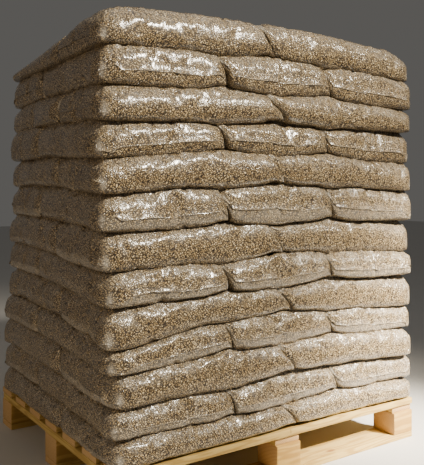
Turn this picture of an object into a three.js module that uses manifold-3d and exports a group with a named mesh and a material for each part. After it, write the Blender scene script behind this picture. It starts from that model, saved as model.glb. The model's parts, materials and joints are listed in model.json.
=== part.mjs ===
// A pallet of filled film sacks: thirteen layers of five sacks, laid in alternating bond on a wooden pallet.
// Millimetres, +Z up. X runs along the pallet's long side, Y along its short side.
// The origin is on the floor under the centre of the pallet.

import * as THREE from "three";
import { mergeVertices } from "three/addons/utils/BufferGeometryUtils.js";
import Module from "manifold-3d";

// Pallet
const PALLET_LENGTH = 1200;
const PALLET_WIDTH = 1000;
const BOARD_WIDTH = 100;
const BOARD_THICKNESS = 22;
const DECK_BOARD_COUNT = 7;
const RUNNER_COUNT = 3;
const RUNNER_SETBACK = 8;
const BLOCK_SIDE = 100;
const BLOCK_HEIGHT = 78;

// Load: the height of each layer, from the pallet up. Sacks settle, so no two layers are quite alike.
const LAYER_HEIGHTS = [83, 90, 98, 85, 102, 93, 110, 112, 98, 103, 96, 104, 103];
const LAYER_GAP = 0.3;
const LONG_SACKS_IN_ROW = 2;
const CROSS_SACKS_IN_ROW = 3;
const LONG_ROW_SHARE = 0.4;

// The load hangs a little over both ends of the pallet, and narrows towards the top, most of all at the back.
const LOAD_LENGTH_AT_FOOT = 1242;
const LOAD_LENGTH_AT_TOP = 1226;
const LOAD_WIDTH_AT_FOOT = 1002;
const LOAD_WIDTH_AT_TOP = 940;
const LOAD_MIDDLE_Y_AT_FOOT = -8;
const LOAD_MIDDLE_Y_AT_TOP = -26;

// The stack has twisted as it rose: each layer is turned clockwise, seen from above, until the twist is full.
const TWIST = THREE.MathUtils.degToRad(3.8);
const TWIST_FULL_AT = 0.7;

// Layers aren't laid quite in line: each is shifted a few millimetres from the one below.
const SWAY_X = 5;
const SWAY_Y = 5;
const SWAY_STEP_X = 1.9;
const SWAY_STEP_Y = 2.3;

// One sack
const SACK_OVERLAP = 12;
const EDGE_INSET = 34;
const EDGE_POWER = 2.5;
const EDGE_DROP = 13;
const EDGE_MARGIN = 105;
const CORNER_PULL = 30;
const CORNER_DROP = 7;
const SIDE_BAND = 0.62;
const TOP_CROWN = 16;
const TOP_DROOP = 15;
const TOP_DROOP_STARTS = 0.8;

const deckLevel = 3 * BOARD_THICKNESS + BLOCK_HEIGHT;
const layerCount = LAYER_HEIGHTS.length;

const sawnPine = new THREE.MeshStandardMaterial({ color: 0xdcbd84, roughness: 0.8, metalness: 0 });
const pineBlock = new THREE.MeshStandardMaterial({ color: 0xc99d62, roughness: 0.85, metalness: 0 });
const filledFilm = new THREE.MeshStandardMaterial({ color: 0xb99a6b, roughness: 0.3, metalness: 0 });

const wasm = await Module();
wasm.setup();

// The middles of `count` strips of one width, spread evenly over a length, the outer two flush with its ends.
function evenCentres(count, length, width) {
  const pitch = (length - width) / (count - 1);
  return Array.from({ length: count }, (_, i) => -length / 2 + width / 2 + i * pitch);
}

function blend(from, to, share) {
  return from + (to - from) * share;
}

// A rectangular piece of timber with the middle of its underside at x, y, z.
function timber(name, size, foot, material) {
  const mesh = new THREE.Mesh(new THREE.BoxGeometry(size[0], size[1], size[2]), material);
  mesh.name = name;
  mesh.position.set(foot[0], foot[1], foot[2] + size[2] / 2);
  return mesh;
}

// The pallet: bottom boards and deck boards run along X, and the runners between them run along Y on blocks.
function makePallet() {
  const group = new THREE.Group();
  const alongBoards = evenCentres(RUNNER_COUNT, PALLET_LENGTH, BLOCK_SIDE);
  const acrossBoards = evenCentres(RUNNER_COUNT, PALLET_WIDTH, BLOCK_SIDE);
  const runnerLevel = BOARD_THICKNESS + BLOCK_HEIGHT;
  const longBoard = [PALLET_LENGTH, BOARD_WIDTH, BOARD_THICKNESS];
  acrossBoards.forEach((y, row) => {
    group.add(timber(`bottom_board_${row + 1}`, longBoard, [0, y, 0], sawnPine));
    alongBoards.forEach((x, column) => {
      const name = `block_row${row + 1}_${column + 1}`;
      group.add(timber(name, [BLOCK_SIDE, BLOCK_SIDE, BLOCK_HEIGHT], [x, y, BOARD_THICKNESS], pineBlock));
    });
  });
  alongBoards.forEach((x, column) => {
    const size = [BOARD_WIDTH, PALLET_WIDTH - 2 * RUNNER_SETBACK, BOARD_THICKNESS];
    group.add(timber(`runner_board_${column + 1}`, size, [x, 0, runnerLevel], sawnPine));
  });
  evenCentres(DECK_BOARD_COUNT, PALLET_WIDTH, BOARD_WIDTH).forEach((y, i) => {
    group.add(timber(`deck_board_${i + 1}`, longBoard, [0, y, runnerLevel + BOARD_THICKNESS], sawnPine));
  });
  return group;
}

// A segmented box has evenly spaced grid lines. Its outer lines and its middle line stay, and this moves the
// lines between them out to `inner`, where a sack begins to round off.
function regrid(value, inner) {
  const size = Math.abs(value);
  const moved = size > 0.99 ? 1 : inner;
  return size < 0.01 ? 0 : Math.sign(value) * moved;
}

// One filled sack, lying flat: full at mid-height, with round edges and corners that pull in.
function sackGeometry(length, width, height, crown) {
  const box = new THREE.BoxGeometry(length, width, height, 4, 3, 4);
  box.deleteAttribute("normal");
  box.deleteAttribute("uv");
  const geometry = mergeVertices(box);
  const position = geometry.getAttribute("position");
  const innerAlong = 1 - EDGE_MARGIN / (length / 2);
  const innerAcross = 1 - EDGE_MARGIN / (width / 2);
  for (let i = 0; i < position.count; i += 1) {
    const u = regrid((2 * position.getX(i)) / length, innerAlong);
    const v = regrid((2 * position.getY(i)) / width, innerAcross);
    const w = regrid((2 * position.getZ(i)) / height, SIDE_BAND);
    const onEnd = Math.abs(u) === 1;
    const onSide = Math.abs(v) === 1;
    const onFace = Math.abs(w) === 1;
    const corner = onEnd && onSide ? CORNER_PULL : 0;
    const inset = EDGE_INSET * (1 - Math.sqrt(1 - Math.abs(w) ** EDGE_POWER));
    const drop = onFace && (onEnd || onSide) ? EDGE_DROP + (corner > 0 ? CORNER_DROP : 0) : 0;
    const x = u * (length / 2 - (onEnd ? inset + corner : 0));
    const y = v * (width / 2 - (onSide ? inset + corner : 0));
    const lift = onFace && w > 0 && !onEnd && !onSide ? crown * (1 - 0.5 * Math.abs(u)) : 0;
    position.setXYZ(i, x, y, w * (height / 2) - Math.sign(w) * drop + lift);
  }
  return geometry;
}

function solidFrom(geometry) {
  const mesh = new wasm.Mesh({
    numProp: 3,
    vertProperties: geometry.getAttribute("position").array,
    triVerts: new Uint32Array(geometry.index.array),
  });
  return new wasm.Manifold(mesh);
}

function geometryFrom(solid) {
  const mesh = solid.getMesh();
  const geometry = new THREE.BufferGeometry();
  geometry.setAttribute("position", new THREE.BufferAttribute(mesh.vertProperties, mesh.numProp));
  geometry.setIndex(new THREE.BufferAttribute(mesh.triVerts, 1));
  geometry.computeVertexNormals();
  return geometry;
}

// The places of one layer's five sacks: a row of two laid along X and a row of three laid along Y.
// `longSide` is -1 where the row of two is on the -Y side, and 1 where it is on the +Y side.
function sackPlaces(loadLength, loadWidth, longSide) {
  const length = loadLength - SACK_OVERLAP;
  const longDepth = (loadWidth - SACK_OVERLAP) * LONG_ROW_SHARE;
  const crossDepth = loadWidth - SACK_OVERLAP - longDepth;
  const rows = [
    { count: LONG_SACKS_IN_ROW, depth: longDepth, y: (longSide * crossDepth) / 2, turn: 0 },
    { count: CROSS_SACKS_IN_ROW, depth: crossDepth, y: (-longSide * longDepth) / 2, turn: Math.PI / 2 },
  ];
  return rows.flatMap((row) => {
    const share = length / row.count;
    return evenCentres(row.count, length, share).map((x) => ({
      x,
      y: row.y,
      turn: row.turn,
      along: (row.turn ? row.depth : share) + SACK_OVERLAP,
      across: (row.turn ? share : row.depth) + SACK_OVERLAP,
    }));
  });
}

// The upper edges of the topmost sacks hang down all round the load, since nothing lies on them.
function droopEdges(geometry, loadLength, loadWidth) {
  const position = geometry.getAttribute("position");
  for (let i = 0; i < position.count; i += 1) {
    const reachX = Math.abs(position.getX(i)) / (loadLength / 2);
    const reachY = Math.abs(position.getY(i)) / (loadWidth / 2);
    const share = Math.max(0, Math.max(reachX, reachY) - TOP_DROOP_STARTS) / (1 - TOP_DROOP_STARTS);
    if (position.getZ(i) > 0) {
      position.setZ(i, position.getZ(i) - TOP_DROOP * share);
    }
  }
}

// One layer: five sacks pressed together where they meet at mid-height, with open valleys between them.
function makeLayer(index, floorLevel) {
  const share = index / (layerCount - 1);
  const loadLength = blend(LOAD_LENGTH_AT_FOOT, LOAD_LENGTH_AT_TOP, share);
  const loadWidth = blend(LOAD_WIDTH_AT_FOOT, LOAD_WIDTH_AT_TOP, share);
  const isTop = index === layerCount - 1;
  const height = LAYER_HEIGHTS[index] - LAYER_GAP;
  const longSide = index % 2 === 0 ? -1 : 1;
  const twist = -TWIST * Math.min(1, share / TWIST_FULL_AT);
  const sacks = sackPlaces(loadLength, loadWidth, longSide).map((place) => {
    const geometry = sackGeometry(place.along, place.across, height, isTop ? TOP_CROWN : 0);
    geometry.rotateZ(place.turn);
    geometry.translate(place.x, place.y, 0);
    if (isTop) {
      droopEdges(geometry, loadLength, loadWidth);
    }
    geometry.rotateZ(twist);
    return solidFrom(geometry);
  });
  const joined = sacks.reduce((whole, sack) => whole.add(sack));
  const mesh = new THREE.Mesh(geometryFrom(joined), filledFilm);
  mesh.name = `sack_layer_${String(index + 1).padStart(2, "0")}`;
  const middleY = blend(LOAD_MIDDLE_Y_AT_FOOT, LOAD_MIDDLE_Y_AT_TOP, share);
  mesh.position.set(
    SWAY_X * Math.sin(SWAY_STEP_X * index),
    middleY + SWAY_Y * Math.sin(SWAY_STEP_Y * index),
    floorLevel + LAYER_GAP + height / 2,
  );
  return mesh;
}

function makeLoad() {
  const group = new THREE.Group();
  let level = deckLevel;
  LAYER_HEIGHTS.forEach((layerHeight, index) => {
    group.add(makeLayer(index, level));
    level += layerHeight;
  });
  return group;
}

const palletOfSacks = new THREE.Group();
palletOfSacks.name = "pallet_of_sacks";
palletOfSacks.add(makePallet(), makeLoad());

export default palletOfSacks;
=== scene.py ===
"""A pallet of clear film sacks filled with wood pellets: thirteen layers of five sacks on a new pine pallet.

Every bag is blown up as cloth between two plates, then laid in its place in the load: squeezed between the
layers under and over it, lapped with its neighbours, with its end seals folded down where they show.
The pallet's timber is sawn, bevelled and nailed. All lengths are in metres, +Z up.
"""

import json
import logging
import math
from dataclasses import dataclass, field
from enum import Enum
from typing import Optional, Sequence

import bpy
import numpy as np
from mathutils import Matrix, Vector

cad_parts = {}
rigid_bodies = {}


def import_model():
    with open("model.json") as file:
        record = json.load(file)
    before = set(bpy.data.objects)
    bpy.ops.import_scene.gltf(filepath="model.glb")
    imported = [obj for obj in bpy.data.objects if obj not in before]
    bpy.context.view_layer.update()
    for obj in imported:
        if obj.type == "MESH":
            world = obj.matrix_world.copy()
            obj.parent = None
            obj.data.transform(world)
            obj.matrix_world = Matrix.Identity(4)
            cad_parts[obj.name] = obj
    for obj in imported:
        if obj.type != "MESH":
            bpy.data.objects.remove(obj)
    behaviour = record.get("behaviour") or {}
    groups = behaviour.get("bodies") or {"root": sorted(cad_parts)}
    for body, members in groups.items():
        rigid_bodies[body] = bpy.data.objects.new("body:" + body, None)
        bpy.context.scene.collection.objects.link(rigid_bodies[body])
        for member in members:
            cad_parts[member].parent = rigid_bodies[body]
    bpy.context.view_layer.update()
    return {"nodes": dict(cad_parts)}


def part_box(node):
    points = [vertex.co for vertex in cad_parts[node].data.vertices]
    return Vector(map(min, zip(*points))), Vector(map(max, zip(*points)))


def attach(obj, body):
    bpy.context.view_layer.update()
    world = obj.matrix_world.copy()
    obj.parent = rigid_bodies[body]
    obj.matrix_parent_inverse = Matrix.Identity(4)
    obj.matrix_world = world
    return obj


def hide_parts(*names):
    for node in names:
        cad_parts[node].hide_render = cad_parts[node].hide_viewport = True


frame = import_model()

MM = 0.001
BODY = "root"
LAYER_COUNT = 13
LOG = logging.getLogger("pallet_of_sacks")


class RowKind(Enum):
    """How the sacks of one row lie."""

    ALONG = 2
    ACROSS = 3


class Lap(Enum):
    """How one side of a sack meets what is beside it."""

    FREE = "an outer side"
    OVER = "lies over its neighbour"
    UNDER = "lies under its neighbour"


class Cut(Enum):
    """Which parts of a bag show, and so keep a fine mesh."""

    CORNER = "one end and one long side"
    END = "one end"
    TOP = "one end, one long side and the upper face"


def smooth(low: float, high: float, value: np.ndarray) -> np.ndarray:
    """A soft step from 0 at `low` to 1 at `high`.

    Args:
        low: Where the step starts.
        high: Where the step ends.
        value: What is measured.

    Returns:
        The step at each value.
    """
    share = np.clip((value - low) / (high - low), 0.0, 1.0)
    return share * share * (3.0 - 2.0 * share)


def soft_line(value: np.ndarray, stops: Sequence[float], heights: Sequence[float]) -> np.ndarray:
    """A line through a few points with soft bends at them.

    Args:
        value: Where the line is read.
        stops: The places of its points, rising.
        heights: The heights of its points.

    Returns:
        The line's height at each value.
    """
    result = np.full(np.shape(value), float(heights[0]))
    for start, end, low, high in zip(stops, stops[1:], heights, heights[1:]):
        result = result + (high - low) * smooth(start, end, value)
    return result


class Lattice:
    """Smooth seeded noise over a plane, from 0 to 1."""

    SIZE = 256

    def __init__(self, seed: int) -> None:
        """Fills the lattice from a seed.

        Args:
            seed: The seed of the noise.
        """
        self.table = np.random.default_rng(seed).random((self.SIZE, self.SIZE))

    def __call__(self, x: np.ndarray, y: np.ndarray) -> np.ndarray:
        """The noise at points whose cells are one unit wide.

        Args:
            x: First coordinates.
            y: Second coordinates.

        Returns:
            A value from 0 to 1 at each point.
        """
        column, row = np.floor(x).astype(int), np.floor(y).astype(int)
        right, up = x - column, y - row
        right, up = right * right * (3 - 2 * right), up * up * (3 - 2 * up)
        columns = (column % self.SIZE, (column + 1) % self.SIZE)
        rows = (row % self.SIZE, (row + 1) % self.SIZE)
        low = self.table[columns[0], rows[0]] * (1 - right) + self.table[columns[1], rows[0]] * right
        high = self.table[columns[0], rows[1]] * (1 - right) + self.table[columns[1], rows[1]] * right
        return low * (1 - up) + high * up


def deselect() -> None:
    """Leaves edit mode and deselects every object."""
    if bpy.context.object is not None and bpy.context.object.mode != "OBJECT":
        bpy.ops.object.mode_set(mode="OBJECT")
    bpy.ops.object.select_all(action="DESELECT")


def activate(piece: bpy.types.Object) -> None:
    """Makes one object the only selected one, and the active one.

    Args:
        piece: The object.
    """
    deselect()
    piece.select_set(True)
    bpy.context.view_layer.objects.active = piece


def apply_place(piece: bpy.types.Object) -> None:
    """Moves an object's place, turn and scale into its mesh.

    Args:
        piece: The object.
    """
    activate(piece)
    bpy.ops.object.transform_apply(location=True, rotation=True, scale=True)


def read_points(mesh: bpy.types.Mesh) -> np.ndarray:
    """The points of a mesh as rows of three numbers."""
    points = np.zeros(len(mesh.vertices) * 3, np.float32)
    mesh.vertices.foreach_get("co", points)
    return points.reshape(-1, 3).astype(float)


def read_normals(mesh: bpy.types.Mesh) -> np.ndarray:
    """The normals at the points of a mesh as rows of three numbers."""
    normals = np.zeros(len(mesh.vertices) * 3, np.float32)
    mesh.vertices.foreach_get("normal", normals)
    return normals.reshape(-1, 3)


def write_points(mesh: bpy.types.Mesh, points: np.ndarray) -> None:
    """Moves the points of a mesh.

    Args:
        mesh: The mesh.
        points: A row of three numbers for each of its points.
    """
    mesh.vertices.foreach_set("co", points.astype(np.float32).ravel())
    mesh.update()


def read_attribute(mesh: bpy.types.Mesh, name: str, width: int = 3) -> np.ndarray:
    """The values of a point attribute.

    Args:
        mesh: The mesh.
        name: The attribute's name.
        width: 3 for a vector, 1 for a number.

    Returns:
        A row for each point, or a number for each point.
    """
    values = np.zeros(len(mesh.vertices) * width, np.float32)
    mesh.attributes[name].data.foreach_get("vector" if width == 3 else "value", values)
    return (values.reshape(-1, 3) if width == 3 else values).astype(float)


def write_attribute(mesh: bpy.types.Mesh, name: str, values: np.ndarray) -> None:
    """Stores numbers or vectors on the points of a mesh.

    Args:
        mesh: The mesh.
        name: The attribute's name.
        values: A number, or a row of three, for each point.
    """
    vector = values.ndim == 2
    kind = "FLOAT_VECTOR" if vector else "FLOAT"
    attribute = mesh.attributes.get(name) or mesh.attributes.new(name, kind, "POINT")
    attribute.data.foreach_set("vector" if vector else "value", values.astype(np.float32).ravel())


def select_faces(piece: bpy.types.Object, chosen: np.ndarray) -> None:
    """Selects the faces of the active mesh by a mask, and enters edit mode in face mode.

    Args:
        piece: The object.
        chosen: A true or false for each face.
    """
    activate(piece)
    bpy.ops.object.mode_set(mode="EDIT")
    bpy.ops.mesh.select_mode(type="FACE")
    bpy.ops.mesh.select_all(action="DESELECT")
    bpy.ops.object.mode_set(mode="OBJECT")
    piece.data.polygons.foreach_set("select", chosen.astype(bool))
    bpy.ops.object.mode_set(mode="EDIT")


class Shade:
    """Writes the nodes of one material."""

    def __init__(self, name: str) -> None:
        """Makes a material with an empty node tree and an output.

        Args:
            name: The material's name.
        """
        self.material = bpy.data.materials.new(name)
        self.material.use_nodes = True
        self.tree = self.material.node_tree
        self.tree.nodes.clear()
        self.output = self.tree.nodes.new("ShaderNodeOutputMaterial")

    def put(self, socket: bpy.types.NodeSocket, value: object) -> None:
        """Links a socket to another, or sets it to a constant.

        Args:
            socket: The input.
            value: An output socket, a number or a tuple.
        """
        if isinstance(value, bpy.types.NodeSocket):
            self.tree.links.new(value, socket)
        elif value is not None:
            socket.default_value = value

    def node(self, kind: str, inputs: Optional[dict] = None, **settings: object) -> bpy.types.Node:
        """Adds a node.

        Args:
            kind: The node's type, without its ShaderNode prefix.
            inputs: Values by the name or number of its inputs.
            **settings: Its own settings.

        Returns:
            The node.
        """
        made = self.tree.nodes.new("ShaderNode" + kind)
        for name, value in settings.items():
            setattr(made, name, value)
        for name, value in (inputs or {}).items():
            self.put(made.inputs[name], value)
        return made

    def place(self) -> bpy.types.NodeSocket:
        """The place on the object, in metres."""
        return self.node("TexCoord").outputs["Object"]

    def attribute(self, name: str, output: str = "Fac") -> bpy.types.NodeSocket:
        """An attribute of the mesh.

        Args:
            name: The attribute's name.
            output: Which output of its node.

        Returns:
            The output.
        """
        return self.node("Attribute", attribute_name=name).outputs[output]

    def turned(self, vector: object, turn: tuple, scale: tuple,
               shift: tuple = (0, 0, 0)) -> bpy.types.NodeSocket:
        """A vector that is shifted, turned and stretched.

        Args:
            vector: The vector's socket.
            turn: Turns about X, Y and Z in degrees.
            scale: Factors along X, Y and Z, after the turn.
            shift: What is added before the turn.

        Returns:
            The new vector.
        """
        angles = tuple(math.radians(a) for a in turn)
        rotated = self.node(
            "Mapping", {"Vector": vector, "Rotation": angles, "Location": shift}, vector_type="POINT"
        ).outputs[0]
        return self.node("VectorMath", {0: rotated, 1: scale}, operation="MULTIPLY").outputs[0]

    def math(self, operation: str, first: object, second: object = None,
             clamp: bool = False) -> bpy.types.NodeSocket:
        """A sum on one or two numbers.

        Args:
            operation: The sum's name.
            first: The first number.
            second: The second number, if it has one.
            clamp: Whether the result is kept from 0 to 1.

        Returns:
            The result.
        """
        return self.node("Math", {0: first, 1: second}, operation=operation, use_clamp=clamp).outputs[0]

    def step(self, value: object, low: float, high: float, start: float = 0.0,
             end: float = 1.0) -> bpy.types.NodeSocket:
        """A soft step of a number.

        Args:
            value: The number.
            low: Where the step starts.
            high: Where the step ends.
            start: The result before the step.
            end: The result after the step.

        Returns:
            The result.
        """
        ranges = {"From Min": low, "From Max": high, "To Min": start, "To Max": end, "Value": value}
        return self.node("MapRange", ranges, interpolation_type="SMOOTHSTEP").outputs[0]

    def noise(self, vector: object, scale: float, detail: float = 3.0,
              roughness: float = 0.5) -> bpy.types.NodeSocket:
        """Soft noise from 0 to 1.

        Args:
            vector: Where it is read.
            scale: How fine it is.
            detail: How many finer steps it has.
            roughness: How strong the finer steps are.

        Returns:
            The noise.
        """
        inputs = {"Vector": vector, "Scale": scale, "Detail": detail, "Roughness": roughness}
        return self.node("TexNoise", inputs).outputs["Fac"]

    def mix(self, share: object, first: object, second: object, blend: str = "MIX") -> bpy.types.NodeSocket:
        """A blend of two colours.

        Args:
            share: How much of the second, from 0 to 1.
            first: A colour or its socket.
            second: A colour or its socket.
            blend: The way of blending.

        Returns:
            The colour.
        """
        made = self.node("Mix", {}, data_type="RGBA", blend_type=blend)
        for number, value in ((0, share), (6, first), (7, second)):
            constant = isinstance(value, tuple) and len(value) == 3
            self.put(made.inputs[number], (*value, 1.0) if constant else value)
        return made.outputs[2]

    def ramp(self, share: object, stops: Sequence[tuple]) -> bpy.types.NodeSocket:
        """A colour from a number.

        Args:
            share: The number, from 0 to 1.
            stops: Places and colours, rising.

        Returns:
            The colour.
        """
        made = self.node("ValToRGB", {"Fac": share})
        elements = made.color_ramp.elements
        while len(elements) < len(stops):
            elements.new(0.5)
        for element, (position, colour) in zip(elements, stops):
            element.position = position
            element.color = (*colour, 1.0)
        return made.outputs[0]

    def bump(self, height: object, depth: float, strength: float) -> bpy.types.NodeSocket:
        """A normal from a height.

        Args:
            height: The height, from 0 to 1.
            depth: How deep 1 is, in metres.
            strength: How much of it shows.

        Returns:
            The normal.
        """
        inputs = {"Height": height, "Distance": depth, "Strength": strength}
        return self.node("Bump", inputs).outputs[0]

    def finish(self, **inputs: object) -> bpy.types.Material:
        """Adds the surface shader and links it to the output.

        Args:
            **inputs: Values by input name, with _ for each space.

        Returns:
            The material.
        """
        named = {name.replace("_", " "): value for name, value in inputs.items()}
        shader = self.node("BsdfPrincipled", named)
        self.tree.links.new(shader.outputs[0], self.output.inputs["Surface"])
        return self.material


@dataclass(frozen=True)
class FilledFilm:
    """Clear glossy film pulled over wood pellets, with bare whitish film at the seals, painted shade in the
    gaps between pellets and painted glints on the creases of each sack's upper bend.
    """

    pellet_width: float = 4.5 * MM
    pellet_length: float = 8.0 * MM
    swirl: float = 0.018
    # Painted shade: the nearly black colour of the gaps between pellets.
    gap_shade: tuple = (0.022, 0.010, 0.003)
    dull: tuple = (0.45, 0.315, 0.150)
    plain: tuple = (0.62, 0.455, 0.235)
    pale: tuple = (0.84, 0.68, 0.43)
    # The whitish colour of bare film, which is also the colour of the painted glints on the creases.
    film: tuple = (0.82, 0.78, 0.70)
    roughness: float = 0.5
    coat_roughness: float = 0.15
    pellet_relief: float = 2.8 * MM
    film_relief: float = 2.4 * MM
    crease_share: float = 0.42
    swell_share: float = 0.06
    wrinkle_share: float = 0.36
    bare_veil: float = 0.62
    bare_cover: float = 0.6
    # How much creases are whitened: a little on every crease, plus painted glints, a painted highlight, on
    # the creases of each sack's upper bend.
    crease_white_and_glint: float = 0.03
    band_veil: float = 0.24

    def make(self) -> bpy.types.Material:
        """Writes the material."""
        shade = Shade("filled_film")
        place = shade.place()
        height, tone, swell = self.pellets(shade, place)
        colour = shade.ramp(tone, ((0.0, self.dull), (0.5, self.plain), (1.0, self.pale)))
        # The gaps between pellets get their painted shade.
        colour = shade.mix(height, self.gap_shade, colour)
        blotch = shade.step(shade.noise(place, 9.0, 3.0), 0.35, 0.75, 0.0, 0.12)
        colour = shade.mix(blotch, colour, shade.mix(1.0, colour, self.dull, "MULTIPLY"))
        crease = self.creases(shade, place)
        bare = shade.attribute("bare")
        # Painted highlight: the creases on each sack's upper bend, which faces the key light, are whitened as
        # painted glints.
        band = shade.math("MULTIPLY", shade.attribute("band"), self.band_veil)
        crease_white_and_glint = shade.math("MULTIPLY", crease, shade.math("ADD", band, self.crease_white_and_glint))
        # The bare whitish film at the seals is the film's own colour; the creases add painted glints.
        film_white_and_glint = shade.math("MAXIMUM", shade.math("MULTIPLY", bare, self.bare_veil), crease_white_and_glint)
        colour = shade.mix(film_white_and_glint, colour, self.film)
        hidden = shade.math("SUBTRACT", 1.0, shade.math("MULTIPLY", bare, self.bare_cover), clamp=True)
        pellet_normal = shade.bump(shade.math("MULTIPLY", height, hidden), self.pellet_relief, 1.0)
        folds = shade.math("MULTIPLY", crease, self.crease_share)
        folds = shade.math("ADD", folds, shade.math("MULTIPLY", swell, self.swell_share))
        folds = shade.math("ADD", folds, shade.math("MULTIPLY", self.wrinkles(shade), self.wrinkle_share))
        film_normal = shade.bump(folds, self.film_relief, 0.9)
        return shade.finish(
            Base_Color=colour, Roughness=self.roughness, Normal=pellet_normal,
            Coat_Weight=1.0, Coat_Roughness=self.coat_roughness, Coat_IOR=1.5, Coat_Normal=film_normal,
        )

    def pellets(self, shade: Shade, place: bpy.types.NodeSocket) -> tuple:
        """Long cells that swirl every way, packed tight, with dark gaps at their edges, whose dark colour is
        painted shade between the pellets.

        Args:
            shade: The material's writer.
            place: Where the pattern is read.

        Returns:
            1 on a pellet and 0 between pellets, where the painted shade goes, a random tone for each pellet,
            and their soft swell.
        """
        bend = shade.node("TexNoise", {"Vector": place, "Scale": 30.0, "Detail": 1.0}).outputs["Color"]
        bend = shade.node("VectorMath", {0: bend, 1: (self.swirl,) * 3}, operation="MULTIPLY").outputs[0]
        bent = shade.node("VectorMath", {0: place, 1: bend}, operation="ADD").outputs[0]
        stretch = (1 / self.pellet_length, 1 / self.pellet_width, 1 / self.pellet_width)
        inputs = {"Vector": shade.turned(bent, (20, 30, 25), stretch), "Scale": 1.0, "Randomness": 0.85}
        cells = shade.node("TexVoronoi", inputs)
        edges = shade.node("TexVoronoi", inputs, feature="DISTANCE_TO_EDGE")
        tone = shade.node("SeparateColor", {"Color": cells.outputs["Color"]}).outputs[0]
        body = shade.step(cells.outputs["Distance"], 0.54, 0.90, 1.0, 0.2)
        line = shade.step(edges.outputs["Distance"], 0.04, 0.25)
        swell = shade.math("SUBTRACT", 1.0, cells.outputs["Distance"], clamp=True)
        return shade.math("MULTIPLY", body, line), tone, swell

    def wrinkles(self, shade: Shade) -> bpy.types.NodeSocket:
        """Fine short wrinkles in tight film, which break its glare into strokes.

        Args:
            shade: The material's writer.

        Returns:
            Their height, from 0 to 1.
        """
        flat = shade.attribute("flat", "Vector")
        at_end = shade.noise(shade.turned(flat, (0, 0, 14), (34.0, 120.0, 1.0)), 1.0, 1.0)
        at_side = shade.noise(shade.turned(flat, (0, 0, 14), (120.0, 34.0, 1.0)), 1.0, 1.0)
        return self.by_edge(shade, at_end, at_side)

    def by_edge(self, shade: Shade, at_end: bpy.types.NodeSocket,
                at_side: bpy.types.NodeSocket) -> bpy.types.NodeSocket:
        """One pattern near a bag's ends and another near its sides.

        Args:
            shade: The material's writer.
            at_end: The pattern near the ends.
            at_side: The pattern near the sides.

        Returns:
            The pattern of the nearer edge.
        """
        near_end = shade.attribute("near_end")
        return shade.node("Mix", {0: near_end, 2: at_side, 3: at_end}, data_type="FLOAT").outputs[0]

    def creases(self, shade: Shade, place: bpy.types.NodeSocket) -> bpy.types.NodeSocket:
        """Sharp ridges of crumpled film, strong where the mesh says that the film is slack.

        Args:
            shade: The material's writer.
            place: Where the pattern is read.

        Returns:
            The height of the ridges.
        """
        flat = shade.attribute("flat", "Vector")
        warp = shade.node("TexNoise", {"Vector": place, "Scale": 14.0, "Detail": 2.0}).outputs["Color"]
        bent = shade.node("VectorMath", {0: warp, 1: (0.05, 0.05, 0.05)}, operation="MULTIPLY").outputs[0]
        spot = shade.node("VectorMath", {0: flat, 1: bent}, operation="ADD").outputs[0]
        at_end = self.ridges(shade, shade.turned(spot, (0, 0, 0), (16.0, 90.0, 1.0)), 0.07)
        at_side = self.ridges(shade, shade.turned(spot, (0, 0, 0), (90.0, 16.0, 1.0)), 0.07)
        ridge = self.by_edge(shade, at_end, at_side)
        crumple = shade.node("TexVoronoi", {"Vector": spot, "Scale": 34.0, "Randomness": 1.0},
                             feature="DISTANCE_TO_EDGE").outputs["Distance"]
        edge = shade.step(crumple, 0.0, 0.07, 1.0, 0.0)
        mixed = shade.math("MAXIMUM", ridge, shade.math("MULTIPLY", edge, 0.6))
        patches = shade.step(shade.noise(place, 11.0, 2.0), 0.42, 0.66)
        loose = shade.math("MAXIMUM", shade.attribute("slack"), shade.math("MULTIPLY", patches, 0.4))
        strength = shade.math("MAXIMUM", loose, shade.math("MULTIPLY", shade.attribute("band"), 0.8))
        wander = shade.noise(shade.turned(place, (0, 0, 0), (22.0, 22.0, 60.0)), 1.0, 2.0, 0.6)
        level = shade.math("ADD", shade.attribute("lean"), shade.math("MULTIPLY", wander, 0.7))
        streak = shade.step(shade.math("ABSOLUTE", shade.math("SUBTRACT", level, 0.98)), 0.0, 0.035, 1.0, 0.0)
        return shade.math("MAXIMUM", shade.math("MULTIPLY", mixed, strength), streak)

    def ridges(self, shade: Shade, spot: bpy.types.NodeSocket, width: float) -> bpy.types.NodeSocket:
        """Thin lines where a noise passes its middle.

        Args:
            shade: The material's writer.
            spot: Where the noise is read.
            width: How wide the lines are, in steps of the noise.

        Returns:
            1 on a line, falling to 0 beside it.
        """
        folds = shade.noise(spot, 1.0, 3.0, 0.6)
        away = shade.math("ABSOLUTE", shade.math("SUBTRACT", folds, 0.5))
        return shade.step(away, 0.0, width, 1.0, 0.0)


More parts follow.
